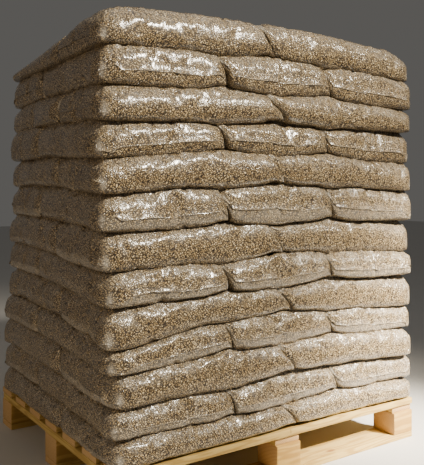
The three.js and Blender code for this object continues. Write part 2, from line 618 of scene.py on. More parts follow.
@dataclass(frozen=True)
class SawnPine:
    """Rough-sawn pine with rings, knots, stains and saw marks."""

    name: str
    pale: tuple
    dark: tuple
    knot: tuple = (0.22, 0.10, 0.035)
    grain_scale: float = 1.0
    roughness: float = 0.78
    split_foot: float = 0.129

    def make(self) -> bpy.types.Material:
        """Writes the material."""
        shade = Shade(self.name)
        grain = shade.attribute("grain", "Vector")
        bent = shade.turned(grain, (0, 0, 0), (2.2, 30.0 * self.grain_scale, 30.0 * self.grain_scale))
        sway = shade.noise(shade.turned(grain, (0, 0, 0), (3.0, 9.0, 9.0)), 1.0, 3.0, 0.5)
        rings = shade.math("ADD", shade.noise(bent, 1.0, 2.0, 0.45), shade.math("MULTIPLY", sway, 0.55))
        bands = shade.math("SINE", shade.math("MULTIPLY", rings, 38.0))
        bands = shade.step(bands, -0.6, 0.95)
        fibre = shade.noise(shade.turned(grain, (0, 0, 0), (18.0, 900.0, 900.0)), 1.0, 2.0, 0.6)
        tone = shade.math("ADD", shade.math("MULTIPLY", bands, 0.62), shade.math("MULTIPLY", fibre, 0.38))
        colour = shade.ramp(tone, ((0.12, self.pale), (0.95, self.dark)))
        knot_spot = shade.turned(grain, (0, 0, 0), (4.5, 9.0, 9.0))
        cells = shade.node("TexVoronoi", {"Vector": knot_spot, "Scale": 1.0, "Randomness": 0.9})
        chosen = shade.node("SeparateColor", {"Color": cells.outputs["Color"]}).outputs[1]
        reach = shade.step(cells.outputs["Distance"], 0.035, 0.12, 1.0, 0.0)
        knot = shade.math("MULTIPLY", reach, shade.math("GREATER_THAN", chosen, 0.72))
        colour = shade.mix(shade.math("MULTIPLY", knot, 0.85), colour, self.knot)
        stain = shade.step(shade.noise(grain, 7.0, 4.0, 0.6), 0.45, 0.8, 0.0, 0.3)
        colour = shade.mix(stain, colour, self.dark)
        # The split is painted as a dark line: painted shade in the crack.
        colour = shade.mix(self.split(shade), colour, self.knot)
        saw = shade.noise(shade.turned(grain, (0, 0, 8), (420.0, 14.0, 14.0)), 1.0, 2.0, 0.6)
        relief = shade.math("ADD", shade.math("MULTIPLY", saw, 0.5), shade.math("MULTIPLY", fibre, 0.5))
        normal = shade.bump(relief, 0.9 * MM, 0.6)
        return shade.finish(
            Base_Color=colour, Roughness=self.roughness, Normal=normal, Specular_IOR_Level=0.3,
        )

    def split(self, shade: Shade) -> bpy.types.NodeSocket:
        """The short split that runs down the front of the foremost deck board from its upper edge, drawn only
        in colour: the split is real, its dark line is painted shade in the crack.

        Args:
            shade: The material's writer.

        Returns:
            1 in the split and 0 elsewhere.
        """
        place = shade.place()
        spot = shade.node("SeparateXYZ", {0: place})
        wander = shade.math("MULTIPLY", shade.noise(place, 160.0, 1.0), 4 * MM)
        middle = shade.math("ADD", wander, 6 * MM)
        aside = shade.math("ABSOLUTE", shade.math("SUBTRACT", spot.outputs[0], middle))
        inside = shade.step(aside, 0.8 * MM, 1.8 * MM, 1.0, 0.0)
        down = shade.step(spot.outputs[2], self.split_foot, self.split_foot + 4 * MM)
        front = shade.step(spot.outputs[1], -0.499, -0.497, 1.0, 0.0)
        return shade.math("MULTIPLY", inside, shade.math("MULTIPLY", down, front))


@dataclass(frozen=True)
class EndGrain:
    """The sawn end of a board or block, with its growth rings and pores."""

    name: str = "pine_end_grain"
    pale: tuple = (0.60, 0.40, 0.19)
    dark: tuple = (0.36, 0.20, 0.08)

    def make(self) -> bpy.types.Material:
        """Writes the material."""
        shade = Shade(self.name)
        grain = shade.attribute("grain", "Vector")
        spot = shade.turned(grain, (0, 0, 0), (0.0, 1.0, 1.0), (0.0, 0.02, 0.05))
        length = shade.node("VectorMath", {0: spot}, operation="LENGTH").outputs["Value"]
        wander = shade.noise(shade.turned(grain, (0, 0, 0), (1.0, 22.0, 22.0)), 1.0, 3.0)
        rings = shade.math("ADD", shade.math("MULTIPLY", length, 1500.0), shade.math("MULTIPLY", wander, 7.0))
        bands = shade.step(shade.math("SINE", rings), -0.5, 0.9)
        pores = shade.noise(shade.turned(grain, (0, 0, 0), (1.0, 800.0, 800.0)), 1.0, 2.0)
        tone = shade.math("ADD", shade.math("MULTIPLY", bands, 0.7), shade.math("MULTIPLY", pores, 0.3))
        colour = shade.ramp(tone, ((0.15, self.pale), (0.95, self.dark)))
        normal = shade.bump(tone, 0.7 * MM, 0.5)
        return shade.finish(Base_Color=colour, Roughness=0.88, Normal=normal, Specular_IOR_Level=0.25)


@dataclass(frozen=True)
class NailSteel:
    """Dull flat nail heads with a little scale on them."""

    def make(self) -> bpy.types.Material:
        """Writes the material."""
        shade = Shade("nail_steel")
        mottle = shade.noise(shade.place(), 700.0, 3.0)
        colour = shade.ramp(mottle, ((0.3, (0.10, 0.09, 0.085)), (0.7, (0.33, 0.32, 0.31))))
        roughness = shade.step(mottle, 0.3, 0.7, 0.6, 0.35)
        return shade.finish(Base_Color=colour, Metallic=0.9, Roughness=roughness)


@dataclass(frozen=True)
class PaleFloor:
    """The plain pale floor."""

    colour: tuple = (0.62, 0.61, 0.59)

    def make(self) -> bpy.types.Material:
        """Writes the material."""
        shade = Shade("pale_floor")
        cloud = shade.noise(shade.place(), 1.5, 3.0)
        darker = tuple(0.94 * part for part in self.colour)
        colour = shade.mix(cloud, self.colour, darker)
        return shade.finish(Base_Color=colour, Roughness=0.7)


@dataclass
class Timber:
    """One sawn board or block of the pallet, which stands for its CAD node."""

    node: str
    ends: bpy.types.Material
    faces: bpy.types.Material
    along: int
    cuts: int
    arris: float = 2.2 * MM
    ragged: float = 0.7 * MM

    def build(self, seed: int) -> bpy.types.Object:
        """Saws the timber: a bevelled box, cut across often enough to wander along its length.

        Args:
            seed: The seed of its unevenness and of its grain.

        Returns:
            The finished piece.
        """
        low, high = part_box(self.node)
        size, centre = high - low, (high + low) / 2
        deselect()
        bpy.ops.mesh.primitive_cube_add(size=1, location=centre)
        piece = bpy.context.object
        piece.name = self.node + "_sawn"
        piece.scale = size
        apply_place(piece)
        bpy.ops.object.mode_set(mode="EDIT")
        bpy.ops.mesh.select_all(action="SELECT")
        bpy.ops.mesh.bevel(offset=self.arris, segments=2, affect="EDGES")
        normal = [0.0, 0.0, 0.0]
        normal[self.along] = 1.0
        for number in range(1, self.cuts):
            spot = Vector(centre)
            spot[self.along] = low[self.along] + size[self.along] * number / self.cuts
            bpy.ops.mesh.select_all(action="SELECT")
            bpy.ops.mesh.bisect(plane_co=spot, plane_no=normal)
        bpy.ops.object.mode_set(mode="OBJECT")
        self.roughen(piece, centre, size, seed)
        self.dress(piece, centre, seed)
        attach(piece, BODY)
        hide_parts(self.node)
        return piece

    def roughen(self, piece: bpy.types.Object, centre: Vector, size: Vector, seed: int) -> None:
        """Makes edges wander and ends uneven, without growing past the sawn size.

        Args:
            piece: The piece.
            centre: The middle of the timber.
            size: Its sawn size.
            seed: The seed of the unevenness.
        """
        points = read_points(piece.data)
        noise = Lattice(seed)
        local = (points - np.array(centre)) / (np.array(size) / 2)
        run = points[:, self.along]
        for axis in range(3):
            if axis == self.along:
                continue
            other = 3 - self.along - axis
            wander = noise(run / 0.06 + 7 * axis, local[:, axis] * 2 + 3 * local[:, other] + 20)
            nick = noise(run / 0.011 + 50, local[:, axis] * 9 + 5 * local[:, other] + 60)
            edge = np.abs(local[:, other]) > 0.8
            nicks = np.where(edge, np.maximum(nick - 0.55, 0), 0)
            inward = self.ragged * wander * 0.7 + self.ragged * 1.2 * nicks
            points[:, axis] -= np.sign(local[:, axis]) * inward * (np.abs(local[:, axis]) > 0.7)
        end = np.abs(local[:, self.along]) > 0.97
        cut = noise(points[:, (self.along + 1) % 3] / 0.02, points[:, (self.along + 2) % 3] / 0.02 + 90)
        points[end, self.along] -= (np.sign(local[:, self.along]) * cut * 1.4 * MM)[end]
        write_points(piece.data, points)

    def dress(self, piece: bpy.types.Object, centre: Vector, seed: int) -> None:
        """Gives the piece its grain direction and its two materials.

        Args:
            piece: The piece.
            centre: The middle of the timber.
            seed: Where in the log the piece was sawn.
        """
        mesh = piece.data
        offset = np.random.default_rng(seed).uniform(-4, 4, 3) * np.array([1.0, 0.2, 0.2])
        order = [self.along, (self.along + 1) % 3, (self.along + 2) % 3]
        local = read_points(mesh) - np.array(centre)
        write_attribute(mesh, "grain", local[:, order] + offset)
        mesh.materials.append(self.faces)
        mesh.materials.append(self.ends)
        for face in mesh.polygons:
            face.material_index = 1 if abs(face.normal[self.along]) > 0.8 else 0
        activate(piece)
        bpy.ops.object.shade_smooth_by_angle(angle=math.radians(35))


@dataclass
class Pallet:
    """The block pallet: bottom boards, blocks, runner boards, deck boards and the nails that hold them."""

    nail_head: float = 9.0 * MM
    nail_proud: float = 0.25 * MM
    nail_spread: float = 26.0 * MM
    first_seed: int = 400
    block_cuts: int = 7
    board_cuts: int = 26

    def build(self) -> None:
        """Saws and nails every piece."""
        board = SawnPine("sawn_pine", (0.54, 0.38, 0.13), (0.37, 0.23, 0.06)).make()
        block = SawnPine("pine_block", (0.54, 0.34, 0.095), (0.36, 0.20, 0.045), grain_scale=0.7).make()
        ends = EndGrain().make()
        for seed, node in enumerate(sorted(frame["nodes"]), start=self.first_seed):
            if node.startswith("sack_layer"):
                continue
            is_block = node.startswith("block")
            along = 1 if node.startswith("runner") else 0
            faces, cuts = (block, self.block_cuts) if is_block else (board, self.board_cuts)
            piece = Timber(node, ends, faces, along, cuts).build(seed)
            LOG.info("%s: %d faces", piece.name, len(piece.data.polygons))
        self.nail()

    def nail(self) -> None:
        """Sets two nail heads wherever a deck board or bottom board crosses a block's column."""
        steel = NailSteel().make()
        columns = [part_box(f"runner_board_{i}") for i in (1, 2, 3)]
        for level, names in (("deck", [f"deck_board_{i}" for i in range(1, 8)]),
                             ("bottom", [f"bottom_board_{i}" for i in range(1, 4)])):
            heads = []
            for name in names:
                low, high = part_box(name)
                for column_low, column_high in columns:
                    for side in (-1, 1):
                        x = (column_low.x + column_high.x) / 2 + side * self.nail_spread * 0.6
                        y = (low.y + high.y) / 2 + side * self.nail_spread
                        z = high.z if level == "deck" else low.z + 2 * self.nail_proud
                        heads.append(self.head((x, y, z)))
            activate(heads[0])
            for head in heads:
                head.select_set(True)
            bpy.ops.object.join()
            joined = bpy.context.object
            joined.name = f"{level}_nail_heads"
            apply_place(joined)
            joined.data.materials.append(steel)
            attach(joined, BODY)
            LOG.info("%s: %d nails", joined.name, len(heads))

    def head(self, spot: tuple) -> bpy.types.Object:
        """One flat nail head, just proud of the wood.

        Args:
            spot: The middle of the head, on the wood.

        Returns:
            The head.
        """
        deselect()
        thickness = 2 * self.nail_proud
        bpy.ops.mesh.primitive_cylinder_add(
            vertices=12, radius=self.nail_head / 2, depth=thickness, location=spot
        )
        head = bpy.context.object
        bpy.ops.object.mode_set(mode="EDIT")
        bpy.ops.mesh.bevel(offset=thickness * 0.3, segments=1, affect="EDGES")
        bpy.ops.object.mode_set(mode="OBJECT")
        return head


@dataclass
class FilmBag:
    """One bag, filled: two sheets of film joined at their rim and blown up as cloth between two plates."""

    seed: int
    flat_length: float = 0.640
    flat_width: float = 0.448
    filled: float = 0.097
    cell: float = 0.012
    pressure: float = 25.0
    seal: float = 0.006
    ear: float = 0.024
    slack_reach: float = 0.05
    fold: float = 2.6 * MM
    fold_reach: float = 0.055
    ripple: float = 1.0 * MM
    thinning: float = 0.22
    fold_seed: int = 50
    place: Vector = field(default_factory=Vector)
    cuts: dict = field(default_factory=dict)
    piece: Optional[bpy.types.Object] = None

    def lay(self) -> None:
        """Lays one sheet of film on the other and joins their rims."""
        columns = round(self.flat_length / self.cell)
        rows = round(self.flat_width / self.cell)
        deselect()
        bpy.ops.mesh.primitive_grid_add(x_subdivisions=columns, y_subdivisions=rows, size=1)
        piece = bpy.context.object
        piece.name = f"film_bag_{self.seed}"
        piece.scale = (self.flat_length, self.flat_width, 1)
        apply_place(piece)
        bpy.ops.object.mode_set(mode="EDIT")
        bpy.ops.mesh.select_all(action="SELECT")
        bpy.ops.mesh.duplicate()
        bpy.ops.mesh.flip_normals()
        bpy.ops.transform.translate(value=(0, 0, -self.filled))
        bpy.ops.object.mode_set(mode="OBJECT")
        points = read_points(piece.data)
        side = np.where(points[:, 2] > -self.filled / 2, 1.0, -1.0)
        write_attribute(piece.data, "flat", np.column_stack((points[:, 0], points[:, 1], side)))
        inset = np.minimum(*self.from_edges(points))
        jitter = np.random.default_rng(self.seed).normal(0, 1.0 * MM, len(points))
        rise = 4 * MM + 30 * MM * np.minimum(1, inset / 0.06) + jitter
        points[:, 2] = np.where(inset < self.cell * 0.5, 0.0, side * rise)
        points += np.array(self.place)
        write_points(piece.data, points)
        activate(piece)
        bpy.ops.object.mode_set(mode="EDIT")
        bpy.ops.mesh.select_all(action="SELECT")
        bpy.ops.mesh.remove_doubles(threshold=0.01 * MM)
        bpy.ops.object.mode_set(mode="OBJECT")
        self.piece = piece

    def from_edges(self, flat: np.ndarray) -> tuple:
        """How far places on the flat bag are from its nearer end and its nearer side.

        Args:
            flat: A row for each place.

        Returns:
            The distances from the end and from the side.
        """
        return self.flat_length / 2 - np.abs(flat[:, 0]), self.flat_width / 2 - np.abs(flat[:, 1])

    def load_cloth(self) -> None:
        """Makes the bag slick, almost unstretchable cloth with pressure in it and no weight."""
        cloth = self.piece.modifiers.new("film", "CLOTH")
        film = cloth.settings
        film.quality = 10
        film.mass = 0.1
        film.tension_stiffness = 400
        film.compression_stiffness = 400
        film.shear_stiffness = 60
        film.bending_stiffness = 0.02
        film.tension_damping = 10
        film.compression_damping = 10
        film.shear_damping = 10
        film.bending_damping = 0.5
        film.air_damping = 2
        film.use_pressure = True
        film.uniform_pressure_force = self.pressure
        film.effector_weights.gravity = 0
        cloth.collision_settings.distance_min = 1 * MM
        cloth.collision_settings.use_self_collision = False

    def settle(self) -> None:
        """Applies the cloth and brings the bag back to the middle."""
        activate(self.piece)
        bpy.ops.object.modifier_apply(modifier="film")
        write_points(self.piece.data, read_points(self.piece.data) - np.array(self.place))

    def trim(self) -> None:
        """Makes the bag's three cuts, each fine where it shows and coarse where it is hidden."""
        self.normalise()
        self.split_corners()
        for cut in Cut:
            mesh = self.piece.data.copy()
            copy = bpy.data.objects.new(f"{self.piece.name}_{cut.name.lower()}", mesh)
            bpy.context.scene.collection.objects.link(copy)
            self.refine(copy, cut)
            self.coarsen(copy, cut)
            self.crumple(copy)
            mesh.use_fake_user = True
            self.cuts[cut] = mesh
            bpy.data.objects.remove(copy)
        bpy.data.objects.remove(self.piece)

    def normalise(self) -> None:
        """Scales the bag so that its middle reaches 1 along, across and up."""
        points = read_points(self.piece.data)
        middle_along = np.abs(points[:, 1]) < 0.05
        middle_across = np.abs(points[:, 0]) < 0.08
        along = np.abs(points[middle_along, 0]).max()
        across = np.abs(points[middle_across, 1]).max()
        write_points(self.piece.data, points / np.array((along, across, self.filled / 2)))

    def split_corners(self) -> None:
        """Cuts each corner cell from the corner inwards, or both sheets would share a triangle across it."""
        from_end, from_side = self.from_edges(read_attribute(self.piece.data, "flat"))
        near = (from_end < 1.5 * self.cell) & (from_side < 1.5 * self.cell)
        on_end, on_side = from_end < 0.5 * self.cell, from_side < 0.5 * self.cell
        activate(self.piece)
        bpy.ops.object.mode_set(mode="EDIT")
        bpy.ops.mesh.select_mode(type="VERT")
        bpy.ops.mesh.select_all(action="DESELECT")
        bpy.ops.object.mode_set(mode="OBJECT")
        self.piece.data.vertices.foreach_set("select", near & (on_end == on_side))
        bpy.ops.object.mode_set(mode="EDIT")
        bpy.ops.mesh.vert_connect()
        bpy.ops.object.mode_set(mode="OBJECT")

    def face_flats(self, mesh: bpy.types.Mesh) -> np.ndarray:
        """The flat place of each face's middle, as shares of the flat bag, and its side.

        Args:
            mesh: The mesh.

        Returns:
            A row for each face.
        """
        flat = read_attribute(mesh, "flat") / np.array([self.flat_length / 2, self.flat_width / 2, 1.0])
        return np.array([flat[list(face.vertices)].mean(0) for face in mesh.polygons])

    def refine(self, piece: bpy.types.Object, cut: Cut) -> None:
        """Halves the cells at the end and side that show.

        Args:
            piece: The bag.
            cut: Which parts show.
        """
        spots = self.face_flats(piece.data)
        shown = spots[:, 0] < -0.62
        if cut is not Cut.END:
            shown |= spots[:, 1] < -0.50
        select_faces(piece, shown)
        bpy.ops.mesh.subdivide(number_cuts=1, smoothness=1.0)
        bpy.ops.object.mode_set(mode="OBJECT")

    def coarsen(self, piece: bpy.types.Object, cut: Cut) -> None:
        """Thins the mesh that lies hidden in the load.

        Args:
            piece: The bag.
            cut: Which parts show.
        """
        spots = self.face_flats(piece.data)
        hidden = (spots[:, 0] > -0.45) & (np.abs(spots[:, 0]) < 0.8)
        hidden &= (spots[:, 1] > (-0.35 if cut is not Cut.END else -0.75)) & (spots[:, 1] < 0.75)
        if cut is Cut.TOP:
            hidden &= spots[:, 2] < 0
        select_faces(piece, hidden)
        bpy.ops.mesh.decimate(ratio=self.thinning)
        bpy.ops.object.mode_set(mode="OBJECT")

    def crumple(self, piece: bpy.types.Object) -> None:
        """Marks slack and bare film, and raises folds that run away from the seal.

        Args:
            piece: The bag.
        """
        mesh = piece.data
        flat = read_attribute(mesh, "flat")
        noise = Lattice(self.seed + self.fold_seed)
        from_end, from_side = self.from_edges(flat)
        corner = np.exp(-((from_end / self.slack_reach) ** 2) - (from_side / self.slack_reach) ** 2)
        ear = np.exp(-((from_end / self.ear) ** 2) - (from_side / self.ear) ** 2)
        bare = np.maximum(0.42 * (1 - smooth(0.0, self.seal, from_end)), ear)
        slack = np.clip(0.8 * np.exp(-from_end / self.slack_reach) + 0.9 * corner, 0, 1)
        write_attribute(mesh, "bare", np.clip(bare, 0, 1))
        write_attribute(mesh, "slack", slack)
        write_attribute(mesh, "near_end", smooth(-0.03, 0.03, from_side - from_end))
        points, normals = read_points(mesh), read_normals(mesh)
        fold = np.abs(noise(flat[:, 1] / 0.021 + 3 * flat[:, 2], flat[:, 0] / 0.11 + 30) - 0.5) * 2
        fine = noise(flat[:, 0] / 0.03 + 11, flat[:, 1] / 0.03 + 5 * flat[:, 2])
        folds = self.fold * (0.4 - fold) * np.exp(-from_end / self.fold_reach)
        rise = (folds + self.ripple * (fine - 0.5)) * (from_end > 0.003)
        scale = np.array([2 / self.flat_length, 2 / self.flat_width, 2 / self.filled])
        write_points(mesh, points + normals * rise[:, None] * scale)


@dataclass
class BagPress:
    """Blows up the few different bags that every sack of the load is copied from, all at once."""

    seeds: tuple = (11, 23, 37, 41, 59, 67)
    spacing: float = 1.0
    frames: int = 30
    plate: float = 20.0
    bags: list = field(default_factory=list)

    def run(self) -> list:
        """Makes the bags.

        Returns:
            The bags, each with its three cuts.
        """
        for number, seed in enumerate(self.seeds):
            draw = np.random.default_rng(seed)
            flat_length = FilmBag.flat_length + draw.uniform(-6, 6) * MM
            flat_width = FilmBag.flat_width + draw.uniform(-5, 5) * MM
            bag = FilmBag(seed, flat_length, flat_width, place=Vector((number * self.spacing, 0, 0)))
            bag.lay()
            self.bags.append(bag)
        self.inflate()
        for bag in self.bags:
            bag.trim()
            LOG.info("bag %d: %s triangles", bag.seed, {c.name: len(m.polygons) for c, m in bag.cuts.items()})
        return self.bags

    def inflate(self) -> None:
        """Steps the cloth between the two plates, then removes them."""
        plates = []
        for sign in (-1, 1):
            deselect()
            level = sign * self.bags[0].filled / 2
            bpy.ops.mesh.primitive_plane_add(size=self.plate, location=(0, 0, level))
            plate = bpy.context.object
            plate.rotation_euler = (math.pi if sign > 0 else 0.0, 0.0, 0.0)
            plate.modifiers.new("plate", "COLLISION")
            plate.collision.thickness_outer = 1 * MM
            plate.collision.cloth_friction = 2
            plates.append(plate)
        for bag in self.bags:
            bag.load_cloth()
        for number in range(1, self.frames + 1):
            bpy.context.scene.frame_set(number)
        for bag in self.bags:
            bag.settle()
        for plate in plates:
            bpy.data.objects.remove(plate)


@dataclass(frozen=True)
class SackPlace:
    """Where one sack lies in its layer, between its joints."""

    name: str
    layer: int
    x: tuple
    y: tuple
    turned: bool
    laps: dict


@dataclass(frozen=True)
class LayerPlan:
    """Where one layer lies: its middle, how far it is turned, and half its length and width."""

    middle: tuple
    turn: float
    half: tuple

    def to_local(self, x: np.ndarray, y: np.ndarray) -> tuple:
        """Places in the layer's own directions, from its middle."""
        away_x, away_y = x - self.middle[0], y - self.middle[1]
        cosine, sine = math.cos(self.turn), math.sin(self.turn)
        return away_x * cosine + away_y * sine, away_y * cosine - away_x * sine

    def to_world(self, x: np.ndarray, y: np.ndarray) -> tuple:
        """Places in the frame, from places in the layer."""
        cosine, sine = math.cos(self.turn), math.sin(self.turn)
        return self.middle[0] + x * cosine - y * sine, self.middle[1] + x * sine + y * cosine


def read_layer(index: int, twist: float, full_at: float) -> LayerPlan:
    """Measures one layer of the frame along its own turned sides.

    Args:
        index: Which layer, 0 at the foot.
        twist: How far the upper layers are turned clockwise, in radians.
        full_at: The share of the height from which the turn is full.

    Returns:
        The layer's place.
    """
    turn = -twist * min(1.0, index / (LAYER_COUNT - 1) / full_at)
    solid = bpy.data.objects[f"sack_layer_{index + 1:02d}"]
    matrix = np.array(solid.matrix_world)
    points = read_points(solid.data) @ matrix[:3, :3].T + matrix[:3, 3]
    x, y = LayerPlan((0.0, 0.0), turn, (0.0, 0.0)).to_local(points[:, 0], points[:, 1])
    middle = ((x.min() + x.max()) / 2, (y.min() + y.max()) / 2)
    half = ((x.max() - x.min()) / 2, (y.max() - y.min()) / 2)
    return LayerPlan(LayerPlan((0.0, 0.0), turn, half).to_world(*middle), turn, half)


@dataclass
class Seams:
    """The surfaces between the layers, from the pallet's deck up to the top of the load.

    `front` and `left` say how far each surface lies above its level in the frame, in millimetres, as judged
    from the photograph: at four stops from the near corner to the far right, and at the far left.
    """

    twist: float = math.radians(3.8)
    twist_full_at: float = 0.7
    stops: tuple = (-0.58, -0.22, 0.14, 0.55)
    front: tuple = (
        (0, 0, 0, 0),
        (5, -5, 5, 0),
        (-5, 0, 10, -5),
        (-10, 5, 10, 0),
        (-30, 15, 15, -10),
        (-15, -5, 10, 5),
        (-10, -5, 10, -5),
        (-10, 0, 5, 0),
        (-15, 5, 10, -5),
        (-15, 10, 10, -5),
        (-10, 0, 5, 5),
        (-5, 5, 5, -10),
        (5, 5, 10, -10),
        (10, 10, 5, -10),
    )
    left: tuple = (0, 10, 15, 10, 10, 15, 15, 10, 10, 10, 15, 15, 15, -20)
    fade: float = 0.42
    swell_seed: int = 900
    swell: float = 2.5 * MM
    dip: float = 6 * MM
    rise: float = 3.5 * MM
    dip_width: float = 0.045
    solid_crown: float = 16 * MM
    crown: float = 14 * MM
    droop: float = 14 * MM
    back_droop: float = 18 * MM
    end_droop: float = 18 * MM
    end_reach: float = 0.10
    peak: tuple = (-0.005, 0.085, 20 * MM)
    peak_reach: tuple = (0.032, 0.055)
    levels: list = field(default_factory=list)
    layers: list = field(default_factory=list)
    joints: list = field(default_factory=list)

    def read(self) -> None:
        """Reads the layers' levels and places from the frame."""
        boxes = [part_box(f"sack_layer_{i:02d}") for i in range(1, LAYER_COUNT + 1)]
        self.levels = [low.z for low, _ in boxes] + [boxes[-1][1].z - self.solid_crown]
        self.layers = [read_layer(index, self.twist, self.twist_full_at) for index in range(LAYER_COUNT)]

    def height(self, number: int, x: np.ndarray, y: np.ndarray) -> np.ndarray:
        """The height of one surface.

        Args:
            number: Which surface, 0 on the deck.
            x: First coordinates.
            y: Second coordinates.

        Returns:
            The height at each point.
        """
        z = np.full(np.shape(x), self.levels[number])
        if number == 0:
            return z
        layer = self.layers[min(number, LAYER_COUNT - 1)]
        local_x, local_y = layer.to_local(x, y)
        near_front = 1 - smooth(0.0, self.fade, local_y + layer.half[1])
        near_left = 1 - smooth(0.0, self.fade, local_x + layer.half[0])
        along_left = self.left[number] * MM * smooth(-0.45, 0.35, local_y)
        along_front = soft_line(local_x, self.stops, self.front[number]) * MM
        z = z + along_front * near_front + along_left * near_left * (1 - near_front)
        noise = Lattice(self.swell_seed + number)
        z = z + self.swell * (noise(x / 0.21 + 40, y / 0.21 + 40) - 0.5) * 2
        z = z - self.dip * self.groove(number - 1, x, y) * (2.0 if number == LAYER_COUNT else 1.0)
        if number < LAYER_COUNT:
            z = z + self.rise * self.groove(number, x, y)
        else:
            reach_x, reach_y = np.abs(local_x) / layer.half[0], np.abs(local_y) / layer.half[1]
            z = z + self.crown - self.droop * smooth(0.8, 1.2, np.cbrt(reach_x ** 3 + reach_y ** 3))
            z = z - self.back_droop * smooth(-1.0, 1.0, local_y / layer.half[1]) * smooth(0.3, 1.0, reach_x)
            z = z - self.end_droop * (1 - smooth(0.0, self.end_reach, layer.half[0] - np.abs(local_x)))
            away_x = (local_x - self.peak[0]) / self.peak_reach[0]
            away_y = (local_y + layer.half[1] - self.peak[1]) / self.peak_reach[1]
            z = z + self.peak[2] * np.exp(-(away_x ** 2) - away_y ** 2)
        return z

    def groove(self, layer: int, x: np.ndarray, y: np.ndarray) -> np.ndarray:
        """How close each point is to a joint of a layer, from 0 to 1.

        Args:
            layer: Which layer, 0 at the foot.
            x: First coordinates.
            y: Second coordinates.

        Returns:
            1 on a joint, falling to 0 beside it.
        """
        result = np.zeros(np.shape(x))
        local_x, local_y = self.layers[layer].to_local(x, y)
        for spot, low, high in self.joints[layer]:
            within = smooth(low - 0.03, low + 0.03, local_y) * (1 - smooth(high - 0.03, high + 0.03, local_y))
            result = np.maximum(result, within * np.exp(-(((local_x - spot) / self.dip_width) ** 2)))
        return result


